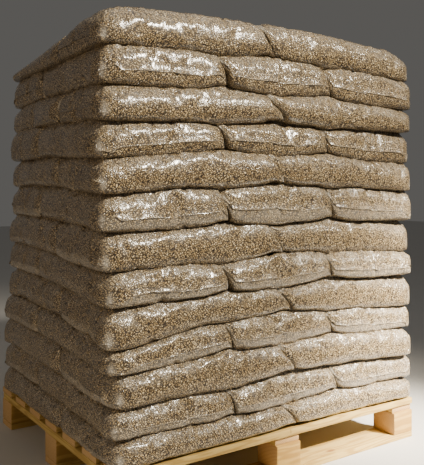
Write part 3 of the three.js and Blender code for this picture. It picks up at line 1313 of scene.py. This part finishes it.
@dataclass
class SackLoad:
    """The 65 sacks, laid in layers of a row of two and a row of three that change sides."""

    bags: list
    seams: Seams
    material: bpy.types.Material
    lap: float = 0.036
    long_lap: float = 0.056
    row_lap: float = 0.030
    settle: float = 8 * MM
    long_share: float = 0.4
    noses: tuple = (5, -10, 20, 0, -15, 15, 10, -5, 0, 5, 5, -5, 5)
    nose_reach: float = 0.15
    wobble: float = 9 * MM
    fin: float = 3.5 * MM
    film_gauge: float = 0.4 * MM
    ridge: float = 0.55
    sag: float = 0.42
    side_taper: float = 0.84
    notch: float = 0.08
    squash: float = 0.12
    haze: float = 0.3
    hazy_layers: int = 8
    joint_haze: float = 0.75
    blunt: tuple = (0.62, 0.9)
    wedge_blunt: float = 1.12
    hidden_blunt: tuple = (0.42, 0.75)
    end_taper: float = 0.62
    edge_taper: float = 0.76
    corner: float = 0.075
    inner_corner: float = 0.085
    edge_round: float = 0.065
    under_round: float = 0.8
    wedges: tuple = ("sack_01_along_2", "sack_03_along_2", "sack_05_along_2")
    plan_seed: int = 300
    sway_seed: int = 600
    sack_seed: int = 7000
    side_seed: int = 8000
    count: int = 0

    def build(self) -> None:
        """Lays every sack."""
        self.seams.read()
        layers = [self.plan(index) for index in range(LAYER_COUNT)]
        for index, places in enumerate(layers):
            for number, place in enumerate(places):
                self.lay(place, index * 10 + number)
            LOG.info("layer %d of %d: %d sacks", index + 1, LAYER_COUNT, len(places))

    def plan(self, index: int) -> list:
        """Works out the places of one layer's sacks.

        Args:
            index: Which layer, 0 at the foot.

        Returns:
            The places.
        """
        half_x, half_y = self.seams.layers[index].half
        draw = np.random.default_rng(self.plan_seed + index)
        long_front = index % 2 == 0
        depth = 2 * half_y * self.long_share
        split = depth - half_y if long_front else half_y - depth
        spans = {RowKind.ALONG: (-half_y, split) if long_front else (split, half_y),
                 RowKind.ACROSS: (split, half_y) if long_front else (-half_y, split)}
        long_over = bool(draw.integers(0, 2))
        places, joints = [], []
        for kind, span in spans.items():
            width = 2 * half_x / kind.value
            stops = [width * i - half_x for i in range(kind.value + 1)]
            for i in range(1, kind.value):
                stops[i] += draw.uniform(-12, 12) * MM
                if kind is RowKind.ALONG:
                    stops[i] += (15 - 35 * index / (LAYER_COUNT - 1)) * MM
                joints.append((stops[i], span[0], span[1]))
            right_over = span[0] == -half_y or bool(draw.integers(0, 2))
            for i in range(kind.value):
                laps = {
                    "left": Lap.FREE if i == 0 else (Lap.OVER if right_over else Lap.UNDER),
                    "right": Lap.FREE if i == kind.value - 1 else (Lap.UNDER if right_over else Lap.OVER),
                    "front": Lap.FREE, "back": Lap.FREE,
                }
                inner = "back" if span[0] == -half_y else "front"
                over = long_over if kind is RowKind.ALONG else not long_over
                laps[inner] = Lap.OVER if over else Lap.UNDER
                name = f"sack_{index + 1:02d}_{kind.name.lower()}_{i + 1}"
                reach = (stops[i], stops[i + 1])
                places.append(SackPlace(name, index, reach, span, kind is RowKind.ACROSS, laps))
        self.seams.joints.append(joints)
        return places

    def lay(self, place: SackPlace, seed: int) -> None:
        """Lays one sack: copies a bag and presses it into its place.

        Args:
            place: Where it lies.
            seed: The seed of its own unevenness.
        """
        draw = np.random.default_rng(self.sack_seed + seed)
        end_side = "front" if place.turned else "left"
        flip_end = 1 if place.laps[end_side] is Lap.FREE else -1
        shown_long = self.free_long(place)
        if place.turned:
            flip_side = -1 if "left" in shown_long else 1
        else:
            flip_side = 1 if "front" in shown_long else -1
        cut = Cut.CORNER if shown_long else Cut.END
        cut = Cut.TOP if place.layer == LAYER_COUNT - 1 else cut
        bag = self.bags[int(draw.integers(0, len(self.bags)))]
        mesh = bag.cuts[cut].copy()
        mesh.use_fake_user = False
        upside = 1 if cut is Cut.TOP else int(draw.choice((-1, 1)))
        points = self.press(mesh, bag, place, draw, (flip_end, flip_side, upside))
        write_points(mesh, points)
        if flip_end * flip_side * upside < 0:
            mesh.flip_normals()
        haze = self.haze if place.layer < self.hazy_layers else 0.0
        self.mark_film(mesh, bag, upside, haze, place.turned)
        piece = bpy.data.objects.new(place.name, mesh)
        bpy.context.scene.collection.objects.link(piece)
        mesh.materials.clear()
        mesh.materials.append(self.material)
        activate(piece)
        bpy.ops.object.shade_smooth_by_angle(angle=math.radians(60))
        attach(piece, BODY)
        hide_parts(f"sack_layer_{place.layer + 1:02d}")
        self.count += 1

    def mark_film(self, mesh: bpy.types.Mesh, bag: FilmBag, upside: int, haze: float, turned: bool) -> None:
        """Marks the upper bend of a laid sack, where its creases are raised more and whitened with painted
        glints, and the hazy film at its ends.

        Args:
            mesh: The laid sack's mesh.
            bag: The bag that it was copied from.
            upside: -1 where the bag lies on its other face.
            haze: How hazy the film is under the seal.
            turned: Whether the sack lies across the load, so that its inner end doesn't show.
        """
        mesh.update()
        lean = read_normals(mesh)[:, 2].astype(float)
        write_attribute(mesh, "lean", lean)
        # The upper bend faces up towards the key light; the film material paints glints on the creases there.
        write_attribute(mesh, "band", smooth(0.12, 0.45, lean) * (1 - smooth(0.82, 0.97, lean)))
        flat = read_attribute(mesh, "flat")
        from_end = bag.flat_length / 2 - np.abs(flat[:, 0])
        below = (flat[:, 2] * upside < 0) * (1 - smooth(0.020, 0.034, from_end))
        bare = np.maximum(read_attribute(mesh, "bare", 1), haze * below)
        if not turned:
            bare = np.maximum(bare, self.joint_haze * (flat[:, 0] > 0) * (1 - smooth(0.015, 0.06, from_end)))
        write_attribute(mesh, "bare", bare)

    def press(self, mesh: bpy.types.Mesh, bag: FilmBag, place: SackPlace, draw: np.random.Generator,
              flips: tuple) -> np.ndarray:
        """Presses a bag's points into a place in the load.

        Args:
            mesh: The bag's mesh, scaled to 1 each way.
            bag: The bag.
            place: Where it lies.
            draw: The sack's own random draws.
            flips: -1 or 1 along, across and up.

        Returns:
            The points in the load.
        """
        points = read_points(mesh)
        flat = read_attribute(mesh, "flat")
        blunt_shown = draw.uniform(*self.blunt)
        if place.name in self.wedges:
            blunt_shown = self.wedge_blunt
        blunt_hidden = self.hidden_blunt[0] if place.turned else self.hidden_blunt[1]
        blunt = np.where(points[:, 0] < 0, blunt_shown, blunt_hidden)
        along = self.squeeze(points[:, 0], self.end_taper, blunt)
        across = self.squeeze(points[:, 1], self.edge_taper, np.full(len(points), self.side_taper))
        along, across = self.round_corners(along, across)
        level = np.sign(points[:, 2]) * np.minimum(np.abs(points[:, 2]), 1.0) ** 0.9 * flips[2]
        noise = Lattice(self.side_seed + place.layer * 10 + int(draw.integers(0, 9)))
        across = across * (1 + 0.03 * (noise(points[:, 0] * 2.2 + 20, points[:, 2] * 0.7 + 20) - 0.5))
        shown_end = smooth(0.45, 0.95, -along)
        shown_side = smooth(0.45, 0.95, -across) if len(self.free_long(place)) else np.zeros(len(points))
        x, y, level = self.stand(place, along * flips[0], across * flips[1], level, draw)
        share = np.clip((level + 1) / 2, 0.0, 1.0)
        share = share ** (1 + self.ridge * shown_end + self.sag * shown_side)
        low, high = self.limits(place, x, y)
        share = low + (high - low) * share
        layer = self.seams.layers[place.layer]
        at_nose = 1 - smooth(0.0, self.nose_reach, np.hypot(x + layer.half[0], y + layer.half[1]))
        x = x + self.noses[place.layer] * MM * at_nose
        x, y = layer.to_world(x, y)
        floor = self.seams.height(place.layer, x, y) - self.settle * (place.layer > 0)
        ceiling = self.seams.height(place.layer + 1, x, y) + self.settle * (place.layer < LAYER_COUNT - 1)
        result = np.column_stack((x, y, floor + (ceiling - floor) * share))
        return self.seal_end(result, flat, bag, place, noise, flips)

    def free_long(self, place: SackPlace) -> list:
        """The long sides of a sack that show."""
        sides = ("left", "right") if place.turned else ("front", "back")
        return [side for side in sides if place.laps[side] is Lap.FREE]

    def squeeze(self, value: np.ndarray, start: float, factor: np.ndarray) -> np.ndarray:
        """Shortens a bag's tapering ends and stretches its middle to make up for it.

        Args:
            value: Places along the bag, 1 at its middle's end.
            start: Where the taper starts.
            factor: How long the taper stays, as a share.

        Returns:
            The new places.
        """
        size = np.abs(value)
        body = size * (1 - (1 - start) * factor) / start
        return np.sign(value) * np.where(size < start, body, 1 - (1 - size) * factor)

    def round_corners(self, along: np.ndarray, across: np.ndarray, power: float = 12.0) -> tuple:
        """Presses ears that stick out back into the sack's rectangle.

        Args:
            along: Places along the bag.
            across: Places across it.
            power: How square the rectangle is.

        Returns:
            The new places along and across.
        """
        reach = (np.abs(along) ** power + np.abs(across) ** power) ** (1 / power)
        start, end = 0.93, 1.02
        over = np.tanh((reach - start) / (end - start))
        held = np.where(reach < start, reach, start + (end - start) * over)
        factor = held / np.maximum(reach, 1e-9)
        return along * factor, across * factor

    def hug(self, place: SackPlace, x: np.ndarray, y: np.ndarray, half: tuple, level: np.ndarray) -> tuple:
        """Rounds a sack's corners, and fills the outer ones up to a round edge.

        Args:
            place: Where it lies.
            x: First coordinates from its middle.
            y: Second coordinates from its middle.
            half: Half its length and width.
            level: How high in the sack each point is, from -1 to 1.

        Returns:
            The new first and second coordinates and levels.
        """
        free = {side: lap is Lap.FREE for side, lap in place.laps.items()}
        outer = np.where(x < 0, free["left"], free["right"]) & np.where(y < 0, free["front"], free["back"])
        radius = np.where(outer, self.corner, self.inner_corner)
        past_x, past_y = np.abs(x) - half[0] + radius, np.abs(y) - half[1] + radius
        reach = np.hypot(np.maximum(past_x, 0), np.maximum(past_y, 0)) / radius
        held = np.where(reach > 0.85, 0.85 + 0.15 * np.tanh((reach - 0.85) * 6), reach)
        weight = smooth(0.0, 0.35, np.minimum(past_x, past_y) / radius)
        factor = 1 + weight * (held / np.maximum(reach, 1e-6) - 1)
        x = np.sign(x) * np.where(past_x > 0, half[0] - radius + past_x * factor, np.abs(x))
        y = np.sign(y) * np.where(past_y > 0, half[1] - radius + past_y * factor, np.abs(y))
        bend = np.where(level < 0, self.under_round, 1.0) * self.edge_round
        inward = np.clip(radius * (1 - reach * factor) / bend, 0, 1)
        fuller = 0.97 * np.sqrt(1 - (1 - inward) ** 2)
        if place.name not in self.wedges:
            size = np.abs(level)
            level = np.sign(level) * (size + weight * outer * np.maximum(fuller - size, 0))
        return x, y, level

    def stand(self, place: SackPlace, along: np.ndarray, across: np.ndarray, level: np.ndarray,
              draw: np.random.Generator) -> tuple:
        """Turns a bag to its direction and moves it to its place in the layer.

        Args:
            place: Where it lies.
            along: Places along the bag.
            across: Places across it.
            level: How high in the bag each point is, from -1 to 1.
            draw: The sack's own random draws.

        Returns:
            The x and y of each point in the layer, and its level.
        """
        local_x, local_y = (-across, along) if place.turned else (along, across)
        reach = self.lap if place.turned else self.long_lap
        grow = {side: 0.0 if lap is Lap.FREE else reach for side, lap in place.laps.items()}
        for side in ("front", "back"):
            grow[side] = min(grow[side], self.row_lap)
        low = (place.x[0] - grow["left"], place.y[0] - grow["front"])
        high = (place.x[1] + grow["right"], place.y[1] + grow["back"])
        half = ((high[0] - low[0]) / 2, (high[1] - low[1]) / 2)
        x, y, level = self.hug(place, local_x * half[0], local_y * half[1], half, level)
        shift = draw.uniform(-4, 4, 2) * MM
        x = (low[0] + high[0]) / 2 + shift[0] + x
        y = (low[1] + high[1]) / 2 + shift[1] + y
        angle = math.radians(draw.uniform(-0.8, 0.8))
        middle = (sum(place.x) / 2, sum(place.y) / 2)
        away_x, away_y = x - middle[0], y - middle[1]
        x = middle[0] + away_x * math.cos(angle) - away_y * math.sin(angle)
        y = middle[1] + away_x * math.sin(angle) + away_y * math.cos(angle)
        return x, y, level

    def limits(self, place: SackPlace, x: np.ndarray, y: np.ndarray) -> tuple:
        """The part of the layer's height that a sack takes, less than all of it where sacks lap.

        Args:
            place: Where it lies.
            x: First coordinates.
            y: Second coordinates.

        Returns:
            The lowest and highest share of the layer's height at each point.
        """
        low, high = np.zeros(len(x)), np.ones(len(x))
        side_lap = self.lap if place.turned else self.long_lap
        noise = Lattice(self.sway_seed + place.layer)
        sway = self.wobble * (noise(x / 0.024 + 60, y / 0.05 + 60) - 0.5) * 2
        distances = {
            "left": (x + sway - place.x[0], side_lap), "right": (place.x[1] - x - sway, side_lap),
            "front": (y - place.y[0], self.row_lap), "back": (place.y[1] - y, self.row_lap),
        }
        face = "front" if place.laps["front"] is Lap.FREE else "back"
        near_face = 1 - smooth(0.03, 0.15, distances[face][0])
        for side, (inside, reach) in distances.items():
            fade = 1 - smooth(-reach, reach, inside)
            if side in ("left", "right") and place.laps[side] is not Lap.FREE:
                low = np.maximum(low, self.notch * near_face * np.exp(-((inside / 0.05) ** 2)))
            if place.laps[side] is Lap.OVER:
                low = np.maximum(low, fade - self.squash)
            elif place.laps[side] is Lap.UNDER:
                high = np.minimum(high, 1 - fade + self.squash)
        return low, np.maximum(high, low)

    def seal_end(self, points: np.ndarray, flat: np.ndarray, bag: FilmBag, place: SackPlace, noise: Lattice,
                 flips: tuple) -> np.ndarray:
        """Turns the outermost strip of film at the end that shows into a thin seal that hangs down.

        Args:
            points: The sack's points.
            flat: Their places on the flat bag.
            bag: The bag.
            place: Where the sack lies.
            noise: The sack's noise.
            flips: -1 or 1 along, across and up.

        Returns:
            The points with the seal.
        """
        from_end = flat[:, 0] + bag.flat_length / 2
        rim = np.nonzero(from_end < 1 * MM)[0]
        strip = np.nonzero((from_end > 4 * MM) & (from_end < 8 * MM))[0]
        if not len(rim) or not len(strip):
            return points
        order = rim[np.argsort(flat[rim, 1])]
        across = flat[strip, 1]
        line = np.column_stack([np.interp(across, flat[order, 1], points[order, i]) for i in range(3)])
        result = points.copy()
        result[strip] = line
        result[strip, 2] += self.film_gauge * flat[strip, 2] * flips[2]
        turn = self.seams.layers[place.layer].turn + (math.radians(90) if place.turned else 0.0)
        outward = -flips[0] * np.array([math.cos(turn), math.sin(turn), 0.0])
        wave = noise(flat[rim, 1] / 0.035 + 70, flat[rim, 1] * 0 + 3)
        angle = np.radians(20 + 60 * wave)
        result[rim] += self.fin * np.cos(angle)[:, None] * outward
        result[rim, 2] -= self.fin * np.sin(angle)
        return result


@dataclass
class Studio:
    """The camera at the photograph's angle, the pale floor and the soft lights."""

    eye: tuple = (-1.4216, -2.1268, 0.9058)
    heading: float = 55.38
    focal_pixels: float = 673.74
    frame_pixels: tuple = (424, 465)
    horizon_row: float = 190.8
    sensor: float = 36.0
    lamp_radius: float = 0.24

    def build(self) -> None:
        """Sets up the camera, the floor and the lights."""
        self.aim()
        self.floor()
        sunny = (1.0, 0.90, 0.73)
        self.spot("key", (1.2, -3.7, 3.9), (-0.05, -0.5, 0.90), 46.0, 1620.0, sunny)
        self.spot("low_right", (2.0, -3.3, 3.0), (0.64, -0.5, 0.24), 17.0, 7300.0, sunny)
        self.light("top", (0.6, -0.6, 4.2), (0.0, 0.0, 0.8), 2.2, 14.0, (1.0, 0.95, 0.87))
        self.light("fill", (-3.8, -0.6, 1.6), (-0.3, 0.0, 0.7), 2.2, 26.0, (1.0, 0.76, 0.48))
        world = bpy.data.worlds.new("studio")
        world.use_nodes = True
        background = world.node_tree.nodes["Background"]
        background.inputs[0].default_value = (0.87, 0.84, 0.79, 1.0)
        background.inputs[1].default_value = 0.12
        bpy.context.scene.world = world

    def aim(self) -> None:
        """Places the camera, level, with the picture shifted so that upright edges stay upright."""
        data = bpy.data.cameras.new("camera")
        camera = bpy.data.objects.new("camera", data)
        bpy.context.scene.collection.objects.link(camera)
        camera.location = self.eye
        camera.rotation_euler = (math.radians(90), 0.0, math.radians(self.heading - 90))
        data.sensor_width = self.sensor
        data.lens = self.focal_pixels * self.sensor / self.frame_pixels[1]
        data.shift_y = (self.horizon_row - self.frame_pixels[1] / 2) / self.frame_pixels[1]
        bpy.context.scene.camera = camera

    def floor(self) -> None:
        """Lays the floor."""
        deselect()
        bpy.ops.mesh.primitive_plane_add(size=30, location=(0, 0, 0))
        floor = bpy.context.object
        floor.name = "floor"
        floor.data.materials.append(PaleFloor().make())

    def light(self, name: str, place: tuple, target: tuple, size: float, power: float, colour: tuple) -> None:
        """Hangs one soft light.

        Args:
            name: Its name.
            place: Where it hangs.
            target: What it is aimed at.
            size: The side of its square.
            power: Its power in watts.
            colour: Its colour.
        """
        data = bpy.data.lights.new(name, "AREA")
        data.size = size
        data.energy = power
        data.color = colour
        self.hang(data, place, target)

    def spot(self, name: str, place: tuple, target: tuple, reach: float, power: float, colour: tuple) -> None:
        """Hangs one lamp with a beam that fades out from its middle.

        Args:
            name: Its name.
            place: Where it hangs.
            target: What it is aimed at.
            reach: The full angle of its beam, in degrees.
            power: Its power in watts.
            colour: Its colour.
        """
        data = bpy.data.lights.new(name, "SPOT")
        data.spot_size = math.radians(reach)
        data.spot_blend = 1.0
        data.shadow_soft_size = self.lamp_radius
        data.energy = power
        data.color = colour
        self.hang(data, place, target)

    def hang(self, data: bpy.types.Light, place: tuple, target: tuple) -> None:
        """Puts a lamp in its place and turns it towards its target.

        Args:
            data: The lamp.
            place: Where it hangs.
            target: What it is aimed at.
        """
        light = bpy.data.objects.new(data.name, data)
        light.location = place
        light.rotation_euler = (Vector(target) - Vector(place)).to_track_quat("-Z", "Y").to_euler()
        bpy.context.scene.collection.objects.link(light)


def main() -> None:
    """Builds the pallet, the load and the studio."""
    logging.basicConfig(level=logging.INFO, format="%(name)s: %(message)s")
    Pallet().build()
    bags = BagPress().run()
    load = SackLoad(bags, Seams(), FilledFilm().make())
    load.build()
    LOG.info("%d sacks in the load", load.count)
    for bag in bags:
        for mesh in bag.cuts.values():
            bpy.data.meshes.remove(mesh)
    Studio().build()


if __name__ == "__main__":
    main()
